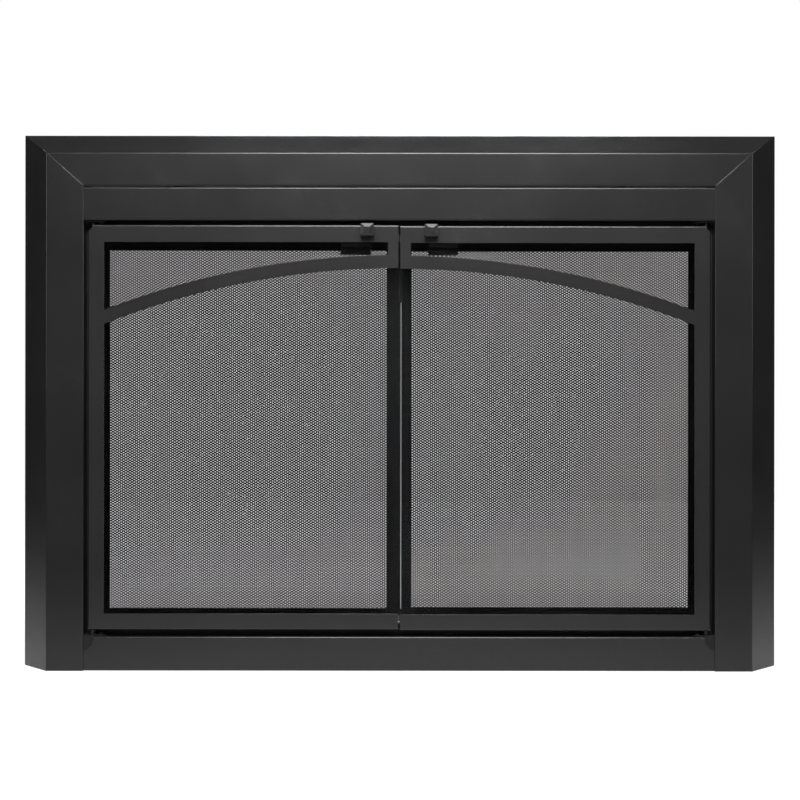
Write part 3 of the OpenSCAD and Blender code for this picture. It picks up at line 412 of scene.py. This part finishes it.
def expanded_net(side):
    """Expanded steel: diamond holes in staggered rows, its strands tilted as the slits are pulled open."""
    node = f"mesh_net_{side}"
    x0, y0, z0 = low(node)
    x1, y1, z1 = high(node)
    middle_y = (y0 + y1) / 2
    half_cols = int((x1 - x0) / (NET_PITCH_X / 2))
    half_rows = int((z1 - z0) / (NET_PITCH_Z / 2))
    step_x = (x1 - x0) / half_cols
    step_z = (z1 - z0) / half_rows
    columns, rows = np.meshgrid(np.arange(1, half_cols), np.arange(1, half_rows), indexing="ij")
    is_hole = (columns + rows) % 2 == 0
    hole_number = -np.ones(columns.shape, dtype=int)
    hole_number[is_hole] = np.arange(is_hole.sum())
    centre_x = x0 + columns[is_hole] * step_x
    centre_z = z0 + rows[is_hole] * step_z

    # Corners of each hole: right, top, left and bottom.
    reach_x = step_x * NET_HOLE_SHARE
    reach_z = step_z * NET_HOLE_SHARE
    corners = np.empty((len(centre_x), 4, 3))
    for k, (ux, uz, relief) in enumerate(((1, 0, 1), (0, 1, -1), (-1, 0, 1), (0, -1, -1))):
        corners[:, k, 0] = centre_x + ux * reach_x
        corners[:, k, 1] = middle_y + relief * NET_RELIEF
        corners[:, k, 2] = centre_z + uz * reach_z
    right, top, left, bottom = range(4)

    def corner(numbers, which):
        return numbers * 4 + which

    quads = []

    def strand_quads(start, end, corner_order):
        good = (start >= 0) & (end >= 0)
        a, b = start[good], end[good]
        chosen = {"a": a, "b": b}
        quads.append(np.stack([corner(chosen[hole], which) for hole, which in corner_order], axis=1))

    here = hole_number[:-1, :-1]
    strand_quads(here, hole_number[1:, 1:],
                 (("a", right), ("b", bottom), ("b", left), ("a", top)))
    here = hole_number[:-1, 1:]
    strand_quads(here, hole_number[1:, :-1],
                 (("a", bottom), ("b", left), ("b", top), ("a", right)))

    # The bond between the four holes round a crossing.
    west, east = hole_number[:-2, 1:-1], hole_number[2:, 1:-1]
    south, north = hole_number[1:-1, :-2], hole_number[1:-1, 2:]
    good = (west >= 0) & (east >= 0) & (south >= 0) & (north >= 0)
    quads.append(np.stack([
        corner(west[good], right),
        corner(south[good], top),
        corner(east[good], left),
        corner(north[good], bottom),
    ], axis=1))

    mesh = bpy.data.meshes.new(f"expanded_net_{side}")
    mesh.from_pydata(corners.reshape(-1, 3).tolist(), [], np.concatenate(quads).tolist())
    mesh.update()
    net = new_piece(f"expanded_net_{side}", mesh, f"mesh_{side}", "mesh_black")
    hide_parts(node)
    return net


# ---------------------------------------------------------------- knobs and welds

# Width of the nose's flat front as a share of the body.
KNOB_TAPER = 0.48
KNOB_NOSE = 3.3 * MM
KNOB_ROUND = 0.5 * MM


def knob(side):
    """Square knob with a straight body and a bevelled nose, its edges rounded."""
    node = f"knob_{side}"
    x0, y0, z0 = low(node)
    x1, y1, z1 = high(node)
    centre = Vector(((x0 + x1) / 2, 0, (z0 + z1) / 2))
    half_x, half_z = (x1 - x0) / 2, (z1 - z0) / 2
    rings = ((y1, 1.0), (y0 + KNOB_NOSE, 1.0), (y0, KNOB_TAPER))
    bm = bmesh.new()
    loops = []
    for y, share in rings:
        loops.append([
            bm.verts.new((centre.x + ux * half_x * share, y, centre.z + uz * half_z * share))
            for ux, uz in ((-1, -1), (1, -1), (1, 1), (-1, 1))
        ])
    for first, second in zip(loops, loops[1:]):
        for k in range(4):
            n = (k + 1) % 4
            bm.faces.new((first[k], first[n], second[n], second[k]))
    bm.faces.new(loops[0])
    bm.faces.new(reversed(loops[-1]))
    bmesh.ops.recalc_face_normals(bm, faces=bm.faces)
    mesh = bpy.data.meshes.new(f"round_knob_{side}")
    bm.to_mesh(mesh)
    bm.free()
    for face in mesh.polygons:
        face.use_smooth = True
    piece = new_piece(f"square_knob_{side}", mesh, f"door_{side}", "powder_black")
    bevel = piece.modifiers.new("round_edges", "BEVEL")
    bevel.width = KNOB_ROUND
    bevel.segments = 3
    bevel.harden_normals = True
    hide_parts(node)
    return piece


WELD_R = 0.5 * MM
WELD_SINK = 0.25 * MM
# Where the weld's points stand off the corners of the sheet, sideways and upwards.
WELD_START_RISE = 0.8 * MM
WELD_BEFORE_FOLD = (0.8 * MM, 0.7 * MM)
WELD_PAST_FOLD = (0.9 * MM, 0.7 * MM)
WELD_FOLD_DEPTH = 1.0 * MM
WELD_END_INSET = (1.2 * MM, 0.9 * MM)
WELD_END_Y = -2.6 * MM
# Width of the surround's slopes and radius of its bends, as the sheet is folded.
SIDE_SLOPE = 46.5 * MM
TOP_SLOPE = 35 * MM
BEND_R = 2.4 * MM


def fold_corner(outer, slope, depth):
    """Where a slope meets the flat face, from the outer edge of its rounded rear fold."""
    fold = math.pi / 2 + math.atan(slope / depth)
    return outer + BEND_R * (math.tan(fold / 2) - 1) - slope


def mitre_weld(side):
    """Thin dressed weld along the mitre between the header and one side."""
    sign = SIDE_SIGN[side]
    header_low, header_high = low("surround_header"), high("surround_header")
    front = header_low.y
    level = front + WELD_SINK
    face_x = fold_corner(header_high.x, SIDE_SLOPE, -front)
    face_z = fold_corner(header_high.z, TOP_SLOPE, -front)
    before_x, before_z = WELD_BEFORE_FOLD
    past_x, past_z = WELD_PAST_FOLD
    end_x, end_z = WELD_END_INSET
    points = (
        (sign * jamb_x(side), level, header_low.z + WELD_START_RISE),
        (sign * (face_x - before_x), level, face_z - before_z),
        (sign * (face_x + past_x), level + WELD_FOLD_DEPTH, face_z + past_z),
        (sign * (abs(header_low.x) - end_x), WELD_END_Y, header_high.z - end_z),
    )
    curve = bpy.data.curves.new(f"mitre_weld_{side}", "CURVE")
    curve.dimensions = "3D"
    curve.bevel_depth = WELD_R
    curve.bevel_resolution = 2
    curve.use_fill_caps = True
    spline = curve.splines.new("POLY")
    spline.points.add(len(points) - 1)
    for target, place in zip(spline.points, points):
        target.co = (*place, 1)
    return new_piece(f"mitre_weld_{side}", curve, "surround", "powder_black")


# ---------------------------------------------------------------- draught seals

def prism(name, corners, body, slot):
    """Piece between two like outlines, whose corners are listed one outline after the other."""
    count = len(corners) // 2
    walls = [(k, (k + 1) % count, (k + 1) % count + count, k + count) for k in range(count)]
    ends = [tuple(range(count)), tuple(range(count, 2 * count))]
    mesh = bpy.data.meshes.new(name)
    mesh.from_pydata(corners, [], walls + ends)
    bm = bmesh.new()
    bm.from_mesh(mesh)
    bmesh.ops.recalc_face_normals(bm, faces=bm.faces)
    bm.to_mesh(mesh)
    bm.free()
    return new_piece(name, mesh, body, slot)


SEAL_FRONT_Y = -34 * MM
SEAL_SHEET = 1.2 * MM
SEAL_LEAF = 13.5 * MM
SEAL_FOOT = 9 * MM
SEAL_SINK = 0.2 * MM
SEAL_END_GAP = 1.0 * MM


def draught_seal(side):
    """Folded strip on the jamb that closes the gap behind the door's hinge edge."""
    sign = SIDE_SIGN[side]
    jamb = jamb_x(side)
    wall = jamb + SEAL_SINK
    tip = jamb - SEAL_LEAF
    inner = jamb - SEAL_SHEET
    front, back = SEAL_FRONT_Y, SEAL_FRONT_Y + SEAL_SHEET
    section = (
        (wall, front),
        (tip, front),
        (tip, back),
        (inner, back),
        (inner, front + SEAL_FOOT),
        (wall, front + SEAL_FOOT),
    )
    bottom = high(f"lower_pivot_bracket_{side}").z + SEAL_END_GAP
    top = low(f"upper_pivot_bracket_{side}").z - SEAL_END_GAP
    corners = [(sign * x, y, z) for z in (bottom, top) for x, y in section]
    return prism(f"draught_seal_{side}", corners, "surround", "frame_black")


# ---------------------------------------------------------------- edge of the screens' seam

SEAM_LEFT_X = -8.5 * MM
SEAM_FOOT_X = 0.2 * MM
SEAM_INNER_X = 0.95 * MM
SEAM_RIGHT_X = 1.75 * MM
SEAM_FRONT_Y = -27.4 * MM
SEAM_SHEET_Y = -26.6 * MM
SEAM_BACK_Y = -21.3 * MM
SEAM_TIP_RISE = 5.5 * MM
SEAM_TIP_SINK = 3.5 * MM
SEAM_CORNER = 1.0 * MM
# The right screen's lip: the two faces of its leg and the end of its foot, then the leg's front end
# and the two faces of its foot.
REAR_LEFT_X = 2.3 * MM
REAR_INNER_X = 3.1 * MM
REAR_FOOT_X = 3.9 * MM
REAR_FRONT_Y = -20.2 * MM
REAR_SHEET_Y = -15.6 * MM
REAR_BACK_Y = -14.8 * MM

# Section of each lip, as seen from above: the left one folds back and the right one folds forward.
SEAM_LIPS = {
    "left": (
        (SEAM_FOOT_X, SEAM_FRONT_Y),
        (SEAM_RIGHT_X, SEAM_FRONT_Y),
        (SEAM_RIGHT_X, SEAM_BACK_Y),
        (SEAM_INNER_X, SEAM_BACK_Y),
        (SEAM_INNER_X, SEAM_SHEET_Y),
        (SEAM_FOOT_X, SEAM_SHEET_Y),
    ),
    "right": (
        (REAR_LEFT_X, REAR_FRONT_Y),
        (REAR_INNER_X, REAR_FRONT_Y),
        (REAR_INNER_X, REAR_SHEET_Y),
        (REAR_FOOT_X, REAR_SHEET_Y),
        (REAR_FOOT_X, REAR_BACK_Y),
        (REAR_LEFT_X, REAR_BACK_Y),
    ),
}


def seam_lip(side):
    """Folded lip along a screen's meeting edge, which narrows the seam as seen from the side."""
    node = f"mesh_frame_{side}"
    corners = [(x, y, z) for z in (low(node).z, high(node).z) for x, y in SEAM_LIPS[side]]
    return prism(f"seam_lip_{side}", corners, f"mesh_{side}", "mesh_black")


def seam_tip():
    """Small plate on the left screen's meeting corner that reaches up into the top channel."""
    top = high("mesh_frame_left").z
    tip, foot = top + SEAM_TIP_RISE, top - SEAM_TIP_SINK
    outline = (
        (SEAM_LEFT_X, foot),
        (SEAM_RIGHT_X, foot),
        (SEAM_RIGHT_X, tip - SEAM_CORNER),
        (SEAM_RIGHT_X - SEAM_CORNER, tip),
        (SEAM_LEFT_X + SEAM_CORNER, tip),
        (SEAM_LEFT_X, tip - SEAM_CORNER),
    )
    corners = [(x, y, z) for y in (SEAM_FRONT_Y, SEAM_SHEET_Y) for x, z in outline]
    return prism("seam_tip", corners, "mesh_left", "mesh_black")


# ---------------------------------------------------------------- stage, light and camera

FLOOR_HALF = 4.0
# How much light the floor scatters, for light and where it is seen as white.
FLOOR_ALBEDO = 0.7
FLOOR_CHALK = 0.25
# How bright the floor looks by itself, next to the object and away from it.
FLOOR_NEAR = 0.84
FLOOR_FAR = 1.0
GLOW_REACH = (0.7, 1.15)
# How far round the object the white floor shows in gloss in full, and where it has faded.
POOL_FULL = 0.3
POOL_END = 0.85
# The same over the floor behind the object, from the diagonals that run back from the origin.
BEHIND_FULL = 0.4


def floor():
    """White floor: seen as white, with the object's soft shadow, and a plain pale floor for light."""
    mesh = bpy.data.meshes.new("floor")
    s = FLOOR_HALF
    mesh.from_pydata([(-s, -s, 0), (s, -s, 0), (s, s, 0), (-s, s, 0)], [], [(0, 1, 2, 3)])
    obj = bpy.data.objects.new("floor", mesh)
    bpy.context.collection.objects.link(obj)
    material = bpy.data.materials.new("floor")
    g = Graph(material)
    place = g.object_place()
    reach = g.node("ShaderNodeVectorMath", operation="LENGTH")
    g.join(place, reach.inputs[0])
    distance = reach.outputs["Value"]
    split = g.node("ShaderNodeSeparateXYZ")
    g.join(place, split.inputs[0])
    sideways = g.math("ABSOLUTE", split.outputs["X"])
    pool = g.span(distance, 1.0, 0.0, POOL_FULL, POOL_END)
    behind = g.span(g.math("SUBTRACT", split.outputs["Y"], sideways), 0.0, 1.0, 0.0, BEHIND_FULL)
    ray = g.node("ShaderNodeLightPath")
    mirrored = g.math("MULTIPLY", ray.outputs["Is Glossy Ray"], g.math("MAXIMUM", pool, behind))
    shown_white = g.math("MAXIMUM", g.looked_at_straight(ray), mirrored)
    glow = g.node("ShaderNodeEmission")
    glow_level = g.span(distance, FLOOR_NEAR, FLOOR_FAR, *GLOW_REACH)
    g.join(g.math("MULTIPLY", shown_white, glow_level), glow.inputs["Strength"])
    paler = g.math("MULTIPLY", shown_white, FLOOR_ALBEDO - FLOOR_CHALK)
    chalk = g.node("ShaderNodeBsdfDiffuse")
    g.join(g.math("SUBTRACT", FLOOR_ALBEDO, paler), chalk.inputs["Color"])
    both = g.node("ShaderNodeAddShader")
    g.join(glow.outputs[0], both.inputs[0])
    g.join(chalk.outputs[0], both.inputs[1])
    out = g.node("ShaderNodeOutputMaterial")
    g.join(both.outputs[0], out.inputs["Surface"])
    obj.data.materials.append(material)


# Light of the room by direction, from straight ahead of the object (-1) to straight behind it (1).
ROOM_STOPS = ((-1.0, 0.23), (-0.5, 0.16), (0.0, 0.005), (0.5, 0.03), (1.0, 0.04))
# The white backdrop stands behind the object, and gloss mirrors it there.
BACKDROP_SPAN = (0.72, 0.88)


def world():
    """White where it is looked at and where gloss mirrors the backdrop, and a dim room for light."""
    made = bpy.data.worlds.new("studio")
    bpy.context.scene.world = made
    g = Graph(made)
    split = g.node("ShaderNodeSeparateXYZ")
    g.join(g.node("ShaderNodeTexCoord").outputs["Generated"], split.inputs[0])
    back = split.outputs["Y"]
    ray = g.node("ShaderNodeLightPath")
    white = g.looked_at_straight(ray)
    backdrop = g.span(back, 0.0, 1.0, *BACKDROP_SPAN)
    mirrored = g.math("MULTIPLY", ray.outputs["Is Glossy Ray"], backdrop)
    room = g.ramp(back, ROOM_STOPS)
    strength = g.math("MAXIMUM", room, g.math("MAXIMUM", white, mirrored))
    light = g.node("ShaderNodeBackground")
    light.inputs["Color"].default_value = (1, 1, 1, 1)
    g.join(strength, light.inputs["Strength"])
    out = g.node("ShaderNodeOutputWorld")
    g.join(light.outputs[0], out.inputs["Surface"])


def softbox(name, place, target, width, height, watts, spread=180):
    data = bpy.data.lights.new(name, "AREA")
    data.shape = "RECTANGLE"
    data.size = width
    data.size_y = height
    data.energy = watts
    data.spread = math.radians(spread)
    obj = bpy.data.objects.new(name, data)
    bpy.context.collection.objects.link(obj)
    obj.location = place
    aim = Vector(target) - Vector(place)
    obj.rotation_euler = aim.to_track_quat("-Z", "Y").to_euler()
    return obj


LIGHT_X = 0.04
# Grids narrow the beams of the front and back lamps.
GRID_SPREAD = 60
TOP_AIM = (0, -0.06, 0.5)
KEY_WATTS = 18
FILL_WATTS = 3.0
OVERHEAD_WATTS = 14
CROWN_WATTS = 4
SIDE_WATTS = 0.8
SIDE_SPREAD = 40
BACK_WATTS = 8


def lights():
    """Key and fill from the front, two boxes overhead, one on each side and one at the back."""
    softbox("key", place=(LIGHT_X, -2.2, 2.5), target=(0, 0, 1.0),
            width=1.4, height=0.8, watts=KEY_WATTS, spread=GRID_SPREAD)
    softbox("fill", place=(LIGHT_X, -2.9, 1.9), target=(0, 0, 0.9),
            width=1.2, height=0.6, watts=FILL_WATTS, spread=GRID_SPREAD)
    softbox("overhead", place=(LIGHT_X, -0.6, 2.3), target=TOP_AIM,
            width=0.9, height=0.4, watts=OVERHEAD_WATTS)
    for side in SIDES:
        softbox(f"side_{side}", place=(SIDE_SIGN[side] * 2.8, -0.5, 1.0), target=(0, 0, 0.45),
                width=1.0, height=1.0, watts=SIDE_WATTS, spread=SIDE_SPREAD)
    softbox("back", place=(LIGHT_X, 2.6, 2.0), target=(0, 0, 0.4),
            width=1.4, height=0.9, watts=BACK_WATTS, spread=GRID_SPREAD)
    softbox("crown", place=(LIGHT_X, -0.15, 2.3), target=TOP_AIM,
            width=0.9, height=0.3, watts=CROWN_WATTS)


CAMERA_X = 0.033
CAMERA_Y = -2.48
CAMERA_Z = 0.3904
CAMERA_LENS = 75.6
CAMERA_SENSOR = 36
CAMERA_ROLL = -0.06
CAMERA_NEAR = 0.05
CAMERA_FAR = 50
# The frame slides sideways so that the object stays in its middle.
CAMERA_SHIFT_X = -0.0277
CAMERA_SHIFT_Y = 0.0004


def camera():
    data = bpy.data.cameras.new("camera")
    data.lens = CAMERA_LENS
    data.sensor_width = CAMERA_SENSOR
    data.shift_x = CAMERA_SHIFT_X
    data.shift_y = CAMERA_SHIFT_Y
    data.clip_start = CAMERA_NEAR
    data.clip_end = CAMERA_FAR
    obj = bpy.data.objects.new("camera", data)
    bpy.context.collection.objects.link(obj)
    obj.location = (CAMERA_X, CAMERA_Y, CAMERA_Z)
    obj.rotation_euler = (math.radians(90), math.radians(CAMERA_ROLL), 0)
    bpy.context.scene.camera = obj


# ---------------------------------------------------------------- the scene

dress_nodes()
for door in SIDES:
    expanded_net(door)
    knob(door)
    mitre_weld(door)
    draught_seal(door)
    seam_lip(door)
seam_tip()
floor()
world()
lights()
camera()
bpy.context.scene.view_settings.view_transform = "Standard"
